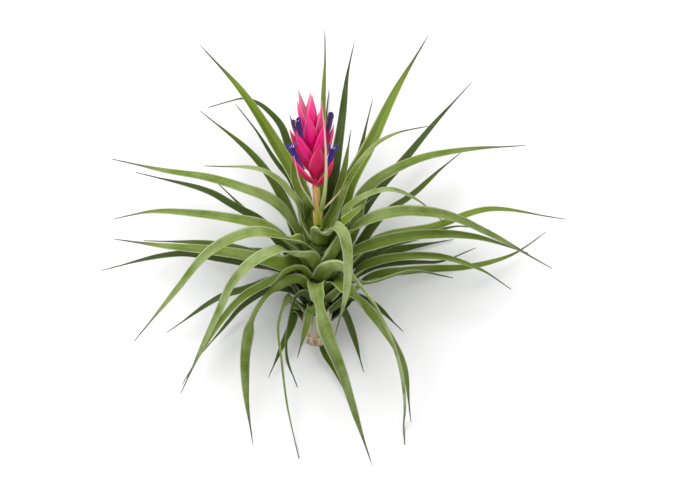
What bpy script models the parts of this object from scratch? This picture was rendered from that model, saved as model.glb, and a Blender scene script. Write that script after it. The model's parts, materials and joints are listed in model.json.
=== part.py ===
"""Stricta air plant lying on its side, in metres, +Z up, resting on Z = 0."""
import math

import bmesh
import bpy
import numpy as np
from mathutils import Matrix, Vector

for old in list(bpy.data.objects):
    bpy.data.objects.remove(old, do_unlink=True)

# Layout lengths are in millimetres; leaf courses are on a grid whose origin is over the rosette.
MM = 0.001
GRID = 0.6
GAP = 0.3

# The stem leans up from the floor; its flower end points to +Y.
LEAN = math.radians(28.0)
STEM_LENGTH = 48.0
BUTT = Vector((0.0, -30.6, 11.0))
STEM_RADII = ((0.0, 3.0), (0.04, 3.8), (0.2, 4.4), (0.65, 4.6), (0.88, 3.7), (1.0, 2.2))
STEM_SIDES = 16

# Leaves sit on the stem in rings that are numbered from the butt end.
FIRST_RING = 10.0
RING_STEP = 5.0
SEAT_RISE = 0.75

# Leaf section: channelled, thickest along the keel.
LEAF_THICK = 0.95
EDGE_THICK = 0.65
CURL = 0.16
STATIONS = 27
MESH_STEP = 2
NECK = 0.62
TIP_WIDTH = 0.8

ALONG = Vector((0.0, math.cos(LEAN), math.sin(LEAN)))
ACROSS = Vector((1.0, 0.0, 0.0))
FRONT = ALONG.cross(-ACROSS)
FACE_HINT = (0.0, 0.6, 0.8)
REST_HINT = (0.0, 0.0, 1.0)
REST_HEIGHTS = (1.0, 0.35, 0.3)

# One leaf per row: seat angle in degrees (0 right, 90 top, 180 left, 270 under), ring, width,
# then the points of its course as grid x, grid y and height above the floor.
LEAVES = {
    "leaf_left_tall": (240, 6, 6.6, ((-11, 45, 30), (-27, 74, 31), (-49, 108, 31), (-74, 137, 28))),
    "leaf_left_hook": (262, 5, 4.8, ((-11, 52, 21), (-18, 72, 22), (-25, 90, 22), (-45, 107, 18),
                                     (-68, 104, 12))),
    "leaf_left_slip": (260, 3, 3.4, ((-16, 52, 13), (-27, 67, 12), (-40, 88, 10), (-52, 104, 8))),
    "leaf_left_slant": (228, 4, 5.2, ((-21, 38, 20), (-32, 57, 20), (-46, 74, 18), (-74, 98, 14))),
    "leaf_left_wisp": (176, 7, 3.6, ((-15, 38, 43), (-27, 50, 45), (-39, 56, 44), (-69, 59, 38))),
    "leaf_left_long": (195, 6, 6.0, ((-28, 36, 36), (-49, 45, 37), (-71, 52, 35), (-97, 57, 31),
                                     (-129, 65, 26))),
    "leaf_left_shade": (215, 3, 5.0, ((-37, 26, 22), (-54, 36, 22), (-71, 46, 20), (-115, 59, 13))),
    "leaf_left_dart": (240, 2, 3.2, ((-34, 26, 12), (-45, 34, 10), (-54, 43, 8), (-66, 55, 5))),
    "leaf_left_level": (165, 5, 6.2, ((-33, 20, 38), (-54, 25, 39), (-80, 29, 36), (-106, 31, 31),
                                      (-127, 28, 26))),
    "leaf_left_under": (200, 2, 4.6, ((-32, 2, 17), (-46, 8, 15), (-66, 13, 12), (-110, 16, 6))),
    "leaf_left_broad": (190, 4, 6.8, ((-20, -3, 29), (-46, 3, 29), (-71, 7, 26), (-97, 10, 22),
                                      (-128, 15, 17))),
    "leaf_left_far": (178, 3, 5.4, ((-32, -3, 22), (-66, 3, 20), (-85, 6, 17), (-106, 4, 14),
                                    (-137, -3, 9))),
    "leaf_left_bow": (135, 6, 6.6, ((-13, 10, 43), (-40, 15, 50), (-66, 5, 46), (-92, -22, 32),
                                    (-116, -48, 17))),
    "leaf_left_arch": (108, 5, 6.2, ((-13, 2, 44), (-27, 4, 51), (-49, -10, 48), (-65, -38, 33),
                                     (-87, -81, 10))),
    "leaf_left_low": (160, 2, 5.0, ((-20, -11, 23), (-45, -17, 20), (-63, -22, 15), (-95, -42, 6))),
    "leaf_left_sweep": (142, 4, 5.0, ((-26, -12, 33), (-46, -22, 30), (-62, -38, 22),
                                      (-86, -75, 5))),
    "leaf_left_tuck": (212, 1, 3.6, ((-28, -16, 12), (-48, -27, 10), (-60, -40, 7), (-74, -56, 4))),
    "leaf_fore_left": (140, 3, 6.0, ((-22, -13, 31), (-39, -31, 29), (-46, -54, 21), (-46, -84, 11),
                                     (-42, -114, 2))),
    "leaf_fore_long": (160, 1, 5.6, ((-18, -20, 20), (-25, -38, 19), (-23, -62, 14), (-19, -92, 6),
                                     (-12, -123, 0.4))),
    "leaf_fore_hook": (118, 2, 4.6, ((-13, -20, 28), (-19, -40, 28), (-20, -60, 22),
                                     (-14, -77, 14))),
    "leaf_fore_short": (200, 0, 4.0, ((-16, -38, 12), (-22, -52, 9), (-30, -70, 4))),
    "leaf_fore_wide": (95, 3, 6.8, ((-2, -14, 38), (4, -45, 37), (15, -72, 28), (25, -100, 16),
                                    (35, -127, 5))),
    "leaf_fore_great": (72, 4, 7.6, ((14, -6, 42), (30, -22, 43), (46, -50, 34), (55, -78, 20),
                                     (58, -114, 0.4))),
    "leaf_fore_twin": (48, 3, 5.4, ((20, -20, 33), (42, -44, 28), (55, -66, 20), (61, -99, 8))),
    "leaf_heart_curl": (95, 7, 5.4, ((5, 15, 47), (11, 19, 53), (16, 8, 54), (17, -20, 47),
                                      (11, -45, 38))),
    "leaf_back_spire": (270, 7, 3.6, ((2, 68, 33), (3, 107, 34), (4, 128, 33), (4, 146, 31))),
    "leaf_back_rod": (300, 6, 5.2, ((10, 56, 28), (15, 90, 26), (19, 122, 24), (23, 141, 22))),
    "leaf_right_tall": (318, 5, 7.2, ((15, 40, 31), (32, 72, 33), (49, 108, 33), (69, 143, 30))),
    "leaf_right_slip": (290, 4, 3.6, ((20, 52, 17), (28, 74, 15), (32, 91, 13), (36, 107, 10))),
    "leaf_right_slant": (315, 3, 5.2, ((32, 38, 18), (56, 67, 17), (78, 94, 14), (100, 119, 9))),
    "leaf_right_wisp": (355, 7, 3.4, ((18, 48, 44), (35, 71, 46), (49, 79, 45), (66, 84, 40))),
    "leaf_right_long": (343, 4, 6.0, ((28, 42, 35), (58, 62, 36), (92, 71, 32), (131, 76, 24))),
    "leaf_right_shade": (332, 2, 5.0, ((39, 28, 16), (63, 46, 15), (80, 62, 12), (94, 74, 8))),
    "leaf_right_crook": (30, 6, 3.6, ((18, 32, 43), (42, 43, 46), (60, 38, 43), (77, 26, 37))),
    "leaf_right_bow": (52, 5, 7.0, ((17, 15, 44), (42, 27, 49), (77, 27, 46), (109, 16, 37),
                                    (148, -2, 24))),
    "leaf_right_far": (2, 3, 5.2, ((38, 14, 25), (74, 22, 28), (109, 34, 26), (158, 30, 17))),
    "leaf_right_thin": (352, 1, 3.4, ((40, 8, 15), (66, 17, 15), (90, 25, 13), (110, 24, 9))),
    "leaf_right_broad": (22, 4, 7.0, ((22, 4, 37), (56, 14, 40), (97, 15, 36), (132, 7, 26))),
    "leaf_right_level": (20, 2, 5.2, ((32, -2, 25), (75, 4, 23), (106, -4, 18), (124, -14, 12))),
    "leaf_right_rise": (25, 1, 5.2, ((32, -10, 18), (66, -4, 14), (101, -1, 10), (130, 8, 7),
                                     (149, 21, 5))),
    "leaf_right_under": (316, 1, 3.6, ((36, -2, 9), (62, 2, 7), (82, 3, 5), (102, 11, 3))),
    "leaf_right_tuck": (62, 2, 6.0, ((17, -14, 31), (32, -14, 33), (59, -6, 30), (84, -9, 22))),
    "leaf_right_stub": (350, 0, 5.0, ((22, -22, 15), (36, -26, 13), (54, -41, 8))),
    "leaf_heart_fold": (44, 7, 6.4, ((12, 20, 46), (22, 28, 50), (32, 36, 51))),
    "leaf_heart_right": (312, 7, 4.4, ((11, 34, 32), (16, 56, 34), (20, 80, 34))),
    "leaf_heart_left": (225, 7, 4.4, ((-8, 36, 37), (-13, 56, 38), (-17, 76, 36))),
    "leaf_fore_base": (105, 1, 4.6, ((-4, -24, 25), (-7, -40, 26), (-12, -58, 19))),
    "leaf_under_left": (245, 1, 5.6, ((-30, 6, 6), (-52, 10, 2.5), (-92, 15, 0.4))),
    "leaf_under_right": (285, 1, 5.6, ((24, 2, 6), (48, 10, 2.5), (88, 18, 0.4))),
    "leaf_under_back": (284, 2, 5.6, ((1, 52, 11), (4, 78, 5), (8, 116, 0.4))),
    "leaf_under_fore": (275, 0, 4.4, ((4, -54, 6), (14, -72, 3), (25, -94, 1.2))),
    "leaf_under_side": (312, 0, 4.4, ((18, -32, 8), (24, -46, 5), (30, -66, 2))),
}
RESTING = ("leaf_fore_long", "leaf_fore_great", "leaf_under_left", "leaf_under_right",
           "leaf_under_back")

# Colours of the materials.
LEAF_COLOR = (0.25, 0.34, 0.13)
STEM_COLOR = (0.52, 0.38, 0.22)
SHEATH_COLOR = (0.55, 0.45, 0.33)
STALK_COLOR = (0.72, 0.55, 0.30)
BRACT_COLOR = (0.78, 0.02, 0.20)
PETAL_COLOR = (0.12, 0.03, 0.5)

# Dry sheath: how far each torn tip reaches along the stem, going round from the right.
SHEATH_FOOT = 0.8
SHEATH_REACH = (7.0, 5.6, 6.8, 12.5, 14.5, 10.5, 13.0, 8.0, 4.8, 4.6, 4.8, 6.0, 6.4, 5.2, 6.0, 5.6)
SHEATH_THICK = 0.7
SHEATH_FLARE = (0.5, 0.7)
SHEATH_TUCK = 0.2

# The flower stalk with its narrow leaves; each mark is x, y and height over the stem's line.
STALK_RADIUS = 1.5
STALK_TAPER = (1.0, 0.94, 0.9)
STALK_LEAVES = {
    "front": ((0.5, 17.5, 0.0), (1.9, 24.0, 6.5), (2.2, 33.0, 11.0), (1.6, 43.0, 12.4),
              (0.5, 53.0, 12.0)),
    "left": ((-0.3, 18.0, 0.0), (-3.4, 22.0, 3.2), (-7.4, 28.0, 7.5), (-9.8, 37.0, 10.6)),
    "right": ((0.2, 18.0, 0.0), (3.4, 21.0, -2.5), (8.2, 26.5, -5.2), (12.4, 34.0, -7.0)),
}
STALK_LEAF_WIDTHS = (1.6, 2.0, 0.8)
STALK_LEAF_STATIONS = 9
STALK_LEAF_CURL = 0.12

# The spike that ends the stalk: bracts in a spiral round one core, lowest first.
SPIKE_START = Vector((-1.2, 27.0, 0.0))
SPIKE_END = Vector((-3.4, 46.5, 0.0))
SPIKE_CORE = 1.5
BRACT_COUNT = 18
BRACT_TURN = math.radians(137.5)
BRACT_LENGTHS = ((0.0, 13.5), (0.06, 14.0), (0.15, 18.0), (0.4, 18.5), (1.0, 17.0))
BRACT_WIDTH = (7.0, 4.8)
BRACT_THICK = 0.75
BRACT_SPREAD = (math.radians(50.0), math.radians(13.0))
BRACT_FIRST_TURN = math.radians(25.0)
BRACT_PROFILE = ((0.0, 0.5), (0.18, 0.85), (0.4, 1.0), (0.7, 0.72), (0.9, 0.32), (1.0, 0.14))
BRACT_TIP = 0.9
BRACT_STATIONS = 8
BRACT_CURL = 0.24
BRACT_INCURVE = 0.35
BRACT_SINK = 0.45
CORE_TAPER = (1.0, 1.0, 0.9, 0.7)

# Flowers: a tube that lies in the hollow of a bract, and three petals at its mouth.
# Each row: bract, distance in from its middle, share of the bract where the tube starts,
# length past the bract's tip, and how wide the petals open.
FLOWERS = {
    "flower_right": (0, 1.3, 0.5, 2.4, 1.0),
    "flower_left": (1, 1.3, 0.5, 2.4, 1.0),
    "flower_front": (6, 1.8, 0.6, 2.0, 0.6),
    "flower_top": (5, 1.8, 0.6, 2.0, 0.15),
}
TUBE_SIZES = (0.55, 0.7, 0.8, 0.95, 1.15)
TUBE_SIDES = 7
PETAL_RISE = (-1.3, 0.4, 1.6, 2.4)
PETAL_OUT = (0.5, 0.8, 1.3, 2.3)
PETAL_WIDTHS = (1.4, 2.2, 2.1, 1.0)
PETAL_TURNS = (90.0, 210.0, 330.0)
PETAL_THICK = 0.7
PETAL_EDGE = 0.62
PETAL_CURL = 0.08
CLOSED_STRETCH = 0.3

# Clearing pass: steps, share of each overlap undone at a time, and spare room between leaves.
CLEAR_STEPS = 150
CLEAR_SHARE = 0.45
CLEAR_ROOM = 0.5
CLEAR_REACH = 10.0
CLEAR_SLACK = 1.1
SMALLEST_CROSSING = 0.05
FIRM_LENGTH = 5.0
SUPPLE_LENGTH = 20.0
LEAST_GIVE = 0.02
RETURN_PULL = 0.015
SETTLE_SHARE = 0.75

# Room kept free round the stem, the stalk and along the spike, and under the leaves.
STEM_ROOM = 0.2
SHEATH_ROOM = 2.2
STALK_ROOM = 2.2
SPIKE_ROOM = (4.0, 8.0, 10.0, 11.0, 11.0, 11.0, 10.5, 9.5, 8.0, 6.0)
SPIKE_ROOM_END = 1.1
FLOOR_ROOM = 0.4
REST_ROOM = 0.3

# How a leaf leaves the stem: degrees from the stem's line at ring 0, less per ring, and the
# straight length before it bends.
OPEN_ANGLE = 52.0
OPEN_STEP = 3.5
STRAIGHT_FOOT = 6.0
TWIST_START = 0.04
TWIST_SHARE = 0.30
NECK_ENDS = (0.05, 0.16)
NECK_LIMIT = 5.0


def axis_height(y):
    """Height of the stem's middle line over the floor at a given Y."""
    return BUTT.z + (y - BUTT.y) * math.tan(LEAN)


def radial(angle):
    """Direction out of the stem at a seat angle in radians."""
    return ACROSS * math.cos(angle) + FRONT * math.sin(angle)


def stem_radius(distance):
    share = distance / STEM_LENGTH
    stops = [stop[0] for stop in STEM_RADII]
    values = [stop[1] for stop in STEM_RADII]
    return float(np.interp(share, stops, values))


def smooth_course(points, count):
    """Evenly spaced points on a smooth curve through the given ones."""
    pts = [np.array(p, dtype=float) for p in points]
    pts = [2 * pts[0] - pts[1]] + pts + [2 * pts[-1] - pts[-2]]
    fine = []
    for a, b, c, d in zip(pts, pts[1:], pts[2:], pts[3:]):
        knots = [0.0]
        for p, q in ((a, b), (b, c), (c, d)):
            knots.append(knots[-1] + math.sqrt(np.linalg.norm(q - p)))
        for t in np.linspace(knots[1], knots[2], 16, endpoint=False):
            ab = a + (b - a) * (t - knots[0]) / (knots[1] - knots[0])
            bc = b + (c - b) * (t - knots[1]) / (knots[2] - knots[1])
            cd = c + (d - c) * (t - knots[2]) / (knots[3] - knots[2])
            left = ab + (bc - ab) * (t - knots[0]) / (knots[2] - knots[0])
            right = bc + (cd - bc) * (t - knots[1]) / (knots[3] - knots[1])
            fine.append(left + (right - left) * (t - knots[1]) / (knots[2] - knots[1]))
    fine.append(pts[-2])
    fine = np.array(fine)
    steps = np.linalg.norm(np.diff(fine, axis=0), axis=1)
    run = np.concatenate(([0.0], np.cumsum(steps)))
    even = np.linspace(0.0, run[-1], count)
    return np.stack([np.interp(even, run, fine[:, k]) for k in range(3)], axis=1)


def unit(rows):
    return rows / np.maximum(np.linalg.norm(rows, axis=-1, keepdims=True), 1e-9)


def leaf_frames(course, inward, hint):
    """Tangent, blade width direction and inner-face normal at each station."""
    tangent = unit(np.gradient(course, axis=0))
    share = np.linspace(0.0, 1.0, len(course))
    blend = np.clip((share - TWIST_START) / TWIST_SHARE, 0.0, 1.0)
    blend = (blend * blend * (3 - 2 * blend))[:, None]
    face = inward[None, :] * (1 - blend) + np.array(hint)[None, :] * blend
    face = unit(face - (face * tangent).sum(1, keepdims=True) * tangent)
    return tangent, np.cross(tangent, face), face


def leaf_widths(width):
    """Full width along the leaf: a narrower neck, then a long taper to the point."""
    share = np.linspace(0.0, 1.0, STATIONS)
    foot_share = NECK * min(width, NECK_LIMIT) / width
    neck = np.interp(share, (0.0, *NECK_ENDS), (foot_share, NECK, 1.0))
    taper = (1.0 - share ** 1.7) ** 0.85
    return np.maximum(width * neck * taper, TIP_WIDTH)


def seat(angle, ring):
    distance = FIRST_RING + RING_STEP * ring
    out = radial(angle)
    return BUTT + ALONG * distance + out * (stem_radius(distance) + SEAT_RISE), out


# Courses of all leaves before clearing.
names = list(LEAVES)
courses = []
inwards = []
hints = []
widths = []
lengths = []
for leaf in names:
    degrees, ring, width, marks = LEAVES[leaf]
    foot, out = seat(math.radians(degrees), ring)
    open_angle = math.radians(OPEN_ANGLE - OPEN_STEP * ring)
    start = ALONG * math.cos(open_angle) + out * math.sin(open_angle)
    points = [foot, foot + start * STRAIGHT_FOOT]
    points += [(x * GRID, y * GRID, z) for x, y, z in marks]
    course = smooth_course(points, STATIONS)
    if leaf in RESTING:
        course[-3:, 2] = np.minimum(course[-3:, 2], REST_HEIGHTS)
    courses.append(course)
    inwards.append(-np.array(out))
    hints.append(REST_HINT if leaf in RESTING else FACE_HINT)
    lengths.append(float(np.linalg.norm(np.diff(course, axis=0), axis=1).sum()))
    widths.append(leaf_widths(width))
courses = np.array(courses)
first_courses = courses.copy()
half_widths = np.array(widths) / 2
half_depths = CURL * np.array(widths) / 2 + LEAF_THICK / 2

# Things the leaves must clear besides each other: the stem, the stalk and the spike.
blocks = []
for distance in np.linspace(1.0, STEM_LENGTH, 18):
    point = BUTT + ALONG * distance
    cuff = SHEATH_ROOM if distance < FIRST_RING else STEM_ROOM
    blocks.append((*point, stem_radius(distance) + cuff))
stem_top = BUTT + ALONG * STEM_LENGTH
spike_foot = Vector((SPIKE_START.x, SPIKE_START.y, axis_height(SPIKE_START.y)))
spike_tip = Vector((SPIKE_END.x, SPIKE_END.y, axis_height(SPIKE_END.y)))
for share in np.linspace(0.0, 1.0, 6):
    blocks.append((*stem_top.lerp(spike_foot, share), STALK_ROOM))
for share, size in zip(np.linspace(0.0, SPIKE_ROOM_END, len(SPIKE_ROOM)), SPIKE_ROOM):
    blocks.append((*spike_foot.lerp(spike_tip, share), size))
blocks = np.array(blocks)


def clear_courses():
    """Bend the leaves off each other, off the stem and bloom, and off the floor."""
    leaf_of = np.repeat(np.arange(len(names)), STATIONS)
    even = np.linspace(0.0, 1.0, STATIONS)
    half_steps = np.array(lengths) / (STATIONS - 1) / 2
    loose = np.array([np.clip((even * size - FIRM_LENGTH) / SUPPLE_LENGTH, 0.0, 1.0)
                      for size in lengths])
    for step in range(CLEAR_STEPS):
        frames = [leaf_frames(*row) for row in zip(courses, inwards, hints)]
        tan = np.concatenate([f[0] for f in frames])
        wide = np.concatenate([f[1] for f in frames])
        face = np.concatenate([f[2] for f in frames])
        flat = courses.reshape(-1, 3)
        hw = half_widths.reshape(-1)
        hd = half_depths.reshape(-1)
        gap_sq = ((flat[:, None, :] - flat[None, :, :]) ** 2).sum(-1)
        near = (gap_sq < CLEAR_REACH ** 2) & (leaf_of[:, None] < leaf_of[None, :])
        i, j = np.nonzero(near)
        d = flat[j] - flat[i]
        ti, tj = tan[i], tan[j]
        reach_i = half_steps[leaf_of[i]]
        reach_j = half_steps[leaf_of[j]]
        dot = (ti * tj).sum(1)
        di, dj = (d * ti).sum(1), (d * tj).sum(1)
        det = np.maximum(1.0 - dot * dot, SMALLEST_CROSSING)
        a = np.clip((di - dot * dj) / det, -reach_i, reach_i)
        b = np.clip((dot * di - dj) / det, -reach_j, reach_j)
        d = d + b[:, None] * tj - a[:, None] * ti
        dist = np.maximum(np.linalg.norm(d, axis=1), 1e-6)
        u = d / dist[:, None]
        size_i = np.hypot(hw[i] * (wide[i] * u).sum(1), hd[i] * (face[i] * u).sum(1))
        size_j = np.hypot(hw[j] * (wide[j] * u).sum(1), hd[j] * (face[j] * u).sum(1))
        lack = (size_i + size_j) * CLEAR_SLACK + CLEAR_ROOM - dist
        hit = lack > 0
        push = np.zeros_like(flat)
        count = np.zeros(len(flat))
        i, j, u, lack = i[hit], j[hit], u[hit], lack[hit]
        give_i = loose.reshape(-1)[i] + LEAST_GIVE
        give_j = loose.reshape(-1)[j] + LEAST_GIVE
        part_i = give_i / (give_i + give_j)
        np.add.at(push, i, -u * (lack * part_i)[:, None])
        np.add.at(push, j, u * (lack * (1 - part_i))[:, None])
        np.add.at(count, i, 1)
        np.add.at(count, j, 1)
        for x, y, z, size in blocks:
            away = flat - (x, y, z)
            dist = np.maximum(np.linalg.norm(away, axis=1), 1e-6)
            dirs = away / dist[:, None]
            own = np.hypot(hw * (wide * dirs).sum(1), hd * (face * dirs).sum(1))
            lack_b = np.maximum(size + own + CLEAR_ROOM - dist, 0.0)
            push += dirs * lack_b[:, None]
            count += lack_b > 0
        push /= np.maximum(count, 1)[:, None] ** 0.5
        push = push.reshape(courses.shape) * CLEAR_SHARE
        for _ in range(2):
            push[:, 1:-1] = push[:, 1:-1] * 0.5 + (push[:, :-2] + push[:, 2:]) * 0.25
        pull = RETURN_PULL if step < CLEAR_STEPS * SETTLE_SHARE else 0.0
        courses[:] += (push + (first_courses - courses) * pull) * loose[:, :, None]
        low = np.hypot(half_widths * wide[:, 2].reshape(half_widths.shape),
                       half_depths * face[:, 2].reshape(half_widths.shape)) + FLOOR_ROOM
        for k, leaf in enumerate(names):
            if leaf in RESTING:
                courses[k, -3:, 2] = first_courses[k, -3:, 2]
                low[k, -6:] = REST_ROOM
        courses[:, 1:, 2] = np.maximum(courses[:, 1:, 2], low[:, 1:])


clear_courses()

# Materials, one per sub-part, and one collection for all of it.
home = bpy.data.collections.new("stricta_air_plant")
bpy.context.scene.collection.children.link(home)


def finish(name, bm, color):
    """Turn a built mesh into a named object with its own material."""
    bmesh.ops.recalc_face_normals(bm, faces=bm.faces)
    mesh = bpy.data.meshes.new(name)
    bm.transform(Matrix.Scale(MM, 4))
    bm.to_mesh(mesh)
    bm.free()
    mat = bpy.data.materials.new("mat_" + name)
    mat.use_nodes = True
    shader = mat.node_tree.nodes["Principled BSDF"]
    shader.inputs["Base Color"].default_value = (*color, 1.0)
    shader.inputs["Roughness"].default_value = 0.7
    mesh.materials.append(mat)
    obj = bpy.data.objects.new(name, mesh)
    home.objects.link(obj)
    return obj


def loft(bm, rings, close_ends=True):
    """Skin over equal rings of points, with both ends capped."""
    made = [[bm.verts.new(p) for p in ring] for ring in rings]
    count = len(made[0])
    for low_ring, high_ring in zip(made, made[1:]):
        for k in range(count):
            m = (k + 1) % count
            bm.faces.new((low_ring[k], low_ring[m], high_ring[m], high_ring[k]))
    if close_ends:
        bm.faces.new(list(reversed(made[0])))
        bm.faces.new(made[-1])
    return made


def blade_rings(course, wide, face, full_widths, thick, edge, curl):
    """Six-point channelled sections along a course."""
    rings = []
    for point, w_dir, n_dir, width in zip(course, wide, face, full_widths):
        half = width / 2
        rise = curl * width
        mid = (rise + thick) / 2
        taper = min(1.0, width / 2.0)
        lip = edge * (0.9 + 0.1 * taper)
        top = rise - mid + thick
        section = ((-half, top - lip), (0.0, -mid), (half, top - lip),
                   (half * 0.9, top), (0.0, thick - mid), (-half * 0.9, top))
        rings.append([point + w_dir * u + n_dir * v for u, v in section])
    return rings


# Leaves.
for k, leaf in enumerate(names):
    tangent, wide, face = leaf_frames(courses[k], inwards[k], hints[k])
    pick = slice(0, STATIONS, MESH_STEP)
    bm = bmesh.new()
    loft(bm, blade_rings(courses[k][pick], wide[pick], face[pick], widths[k][pick],
                         LEAF_THICK, EDGE_THICK, CURL))
    if leaf in RESTING:
        cut = bmesh.ops.bisect_plane(bm, geom=bm.verts[:] + bm.edges[:] + bm.faces[:],
                                     plane_co=(0, 0, 0), plane_no=(0, 0, -1), clear_outer=True)
        rim = [e for e in cut["geom_cut"] if isinstance(e, bmesh.types.BMEdge)]
        if rim:
            bmesh.ops.holes_fill(bm, edges=rim, sides=0)
    finish(leaf, bm, LEAF_COLOR)

# Stem with its butt end.
bm = bmesh.new()
rings = []
for share, size in STEM_RADII:
    middle = BUTT + ALONG * (share * STEM_LENGTH)
    rings.append([middle + radial(2 * math.pi * k / STEM_SIDES) * size for k in range(STEM_SIDES)])
loft(bm, rings)
finish("stem", bm, STEM_COLOR)


# Dry sheath: the papery foot of old leaves, a cuff with torn tips round the butt of the stem.
bm = bmesh.new()
rings = []
half_flare, full_flare = SHEATH_FLARE
sheath_outside = GAP + SHEATH_THICK
for reach_share, extra in ((0.0, GAP), (0.0, sheath_outside), (0.5, sheath_outside + half_flare),
                           (1.0, sheath_outside + full_flare), (1.0, GAP + full_flare),
                           (0.5, GAP + SHEATH_TUCK)):
    ring = []
    for k, reach in enumerate(SHEATH_REACH):
        distance = SHEATH_FOOT + (reach - SHEATH_FOOT) * reach_share
        out = radial(2 * math.pi * k / len(SHEATH_REACH))
        ring.append(BUTT + ALONG * distance + out * (stem_radius(distance) + extra))
    rings.append(ring)
made = loft(bm, rings, close_ends=False)
for k in range(len(SHEATH_REACH)):
    m = (k + 1) % len(SHEATH_REACH)
    bm.faces.new((made[-1][k], made[-1][m], made[0][m], made[0][k]))
finish("dry_sheath", bm, SHEATH_COLOR)


def fuse(name, bodies, color):
    """Join overlapping bodies into one closed node."""
    first = finish(name, bodies[0], color)
    rest = bpy.data.collections.new(name + "_parts")
    bpy.context.scene.collection.children.link(rest)
    helpers = []
    for body in bodies[1:]:
        helper = finish(name + "_part", body, color)
        home.objects.unlink(helper)
        rest.objects.link(helper)
        helpers.append(helper)
    join = first.modifiers.new("join", "BOOLEAN")
    join.operation = "UNION"
    join.operand_type = "COLLECTION"
    join.collection = rest
    join.solver = "MANIFOLD"
    bpy.context.view_layer.update()
    depsgraph = bpy.context.evaluated_depsgraph_get()
    mesh = bpy.data.meshes.new_from_object(first.evaluated_get(depsgraph))
    first.modifiers.clear()
    first.data = mesh
    mesh.materials.clear()
    mesh.materials.append(bpy.data.materials["mat_" + name])
    for helper in helpers:
        bpy.data.objects.remove(helper, do_unlink=True)
    bpy.data.collections.remove(rest)
    return first


def rod(points, sizes, sides=8):
    """Round rod through the points, as a new mesh."""
    body = bmesh.new()
    pts = np.array([tuple(p) for p in points])
    tangent = unit(np.gradient(pts, axis=0))
    rows = []
    for point, t_dir, size in zip(pts, tangent, sizes):
        side = np.cross(t_dir, (0.0, 0.0, 1.0))
        side /= np.linalg.norm(side)
        up = np.cross(side, t_dir)
        rows.append([point + (side * math.cos(a) + up * math.sin(a)) * size
                     for a in np.linspace(0, 2 * math.pi, sides, endpoint=False)])
    loft(body, rows)
    return body


def inner_face(points, inward):
    """Normals of a blade's inner face, square to its course and kept to one side."""
    tangent = unit(np.gradient(np.array([tuple(p) for p in points]), axis=0))
    face = np.array(inward)[None, :]
    return unit(face - (face * tangent).sum(1, keepdims=True) * tangent)


def slip(points, inward, full_widths, thick, edge, curl):
    """Small leaf or bract whose inner face keeps to one side, as a new mesh."""
    pts = np.array([tuple(p) for p in points])
    tangent = unit(np.gradient(pts, axis=0))
    face = inner_face(points, inward)
    body = bmesh.new()
    loft(body, blade_rings(pts, np.cross(tangent, face), face, full_widths, thick, edge, curl))
    return body


# Stalk with its narrow leaves.
spike_axis = (spike_tip - spike_foot).normalized()
stalk_foot = stem_top + ALONG * GAP
stalk_head = spike_foot - spike_axis * GAP
bodies = [rod([stalk_foot, stalk_foot.lerp(stalk_head, 0.5), stalk_head],
              [STALK_RADIUS * taper for taper in STALK_TAPER])]
for marks in STALK_LEAVES.values():
    points = [(x, y, axis_height(y) + lift) for x, y, lift in marks]
    course = smooth_course(points, STALK_LEAF_STATIONS)
    full = np.interp(np.linspace(0, 1, STALK_LEAF_STATIONS), (0, 0.3, 1), STALK_LEAF_WIDTHS)
    away = Vector(points[-1]) - Vector(points[0])
    inward = -(away - ALONG * away.dot(ALONG)).normalized()
    bodies.append(slip(course, inward, full, BRACT_THICK, EDGE_THICK, STALK_LEAF_CURL))
fuse("stalk", bodies, STALK_COLOR)

# Spike: bracts in a spiral round one core.
spike_side = spike_axis.cross(Vector((0.0, 0.0, 1.0))).normalized()
spike_front = spike_side.cross(spike_axis).normalized()


def spike_out(angle):
    return spike_side * math.cos(angle) + spike_front * math.sin(angle)


def arched(foot, out, spread_start, spread_end, length, count):
    """Course that leaves the spike at one angle from its axis and ends at another."""
    points = [foot.copy()]
    for k in range(count - 1):
        lean = spread_start + (spread_end - spread_start) * (k + 0.5) / (count - 1)
        step = spike_axis * math.cos(lean) + out * math.sin(lean)
        points.append(points[-1] + step * (length / (count - 1)))
    return points


bodies = [rod([spike_foot.lerp(spike_tip, t) for t in (0.0, 0.35, 0.7, 1.0)],
              [SPIKE_CORE * taper for taper in CORE_TAPER])]
bract_courses = []
for k in range(BRACT_COUNT):
    share = k / (BRACT_COUNT - 1)
    angle = BRACT_FIRST_TURN + BRACT_TURN * k
    out = spike_out(angle)
    spread = BRACT_SPREAD[0] + (BRACT_SPREAD[1] - BRACT_SPREAD[0]) * share
    length = float(np.interp(share, *zip(*BRACT_LENGTHS)))
    width = BRACT_WIDTH[0] + (BRACT_WIDTH[1] - BRACT_WIDTH[0]) * share
    foot = spike_foot.lerp(spike_tip, 0.04 + 0.94 * share) + out * (SPIKE_CORE * BRACT_SINK)
    points = arched(foot, out, spread, spread * BRACT_INCURVE, length, BRACT_STATIONS)
    bract_courses.append((np.array([tuple(p) for p in points]), inner_face(points, -out)))
    full = np.interp(np.linspace(0, 1, BRACT_STATIONS), *zip(*BRACT_PROFILE)) * width
    full = np.maximum(full, BRACT_TIP)
    bodies.append(slip(points, -out, full, BRACT_THICK, EDGE_THICK, BRACT_CURL))
fuse("spike", bodies, BRACT_COLOR)

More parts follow.
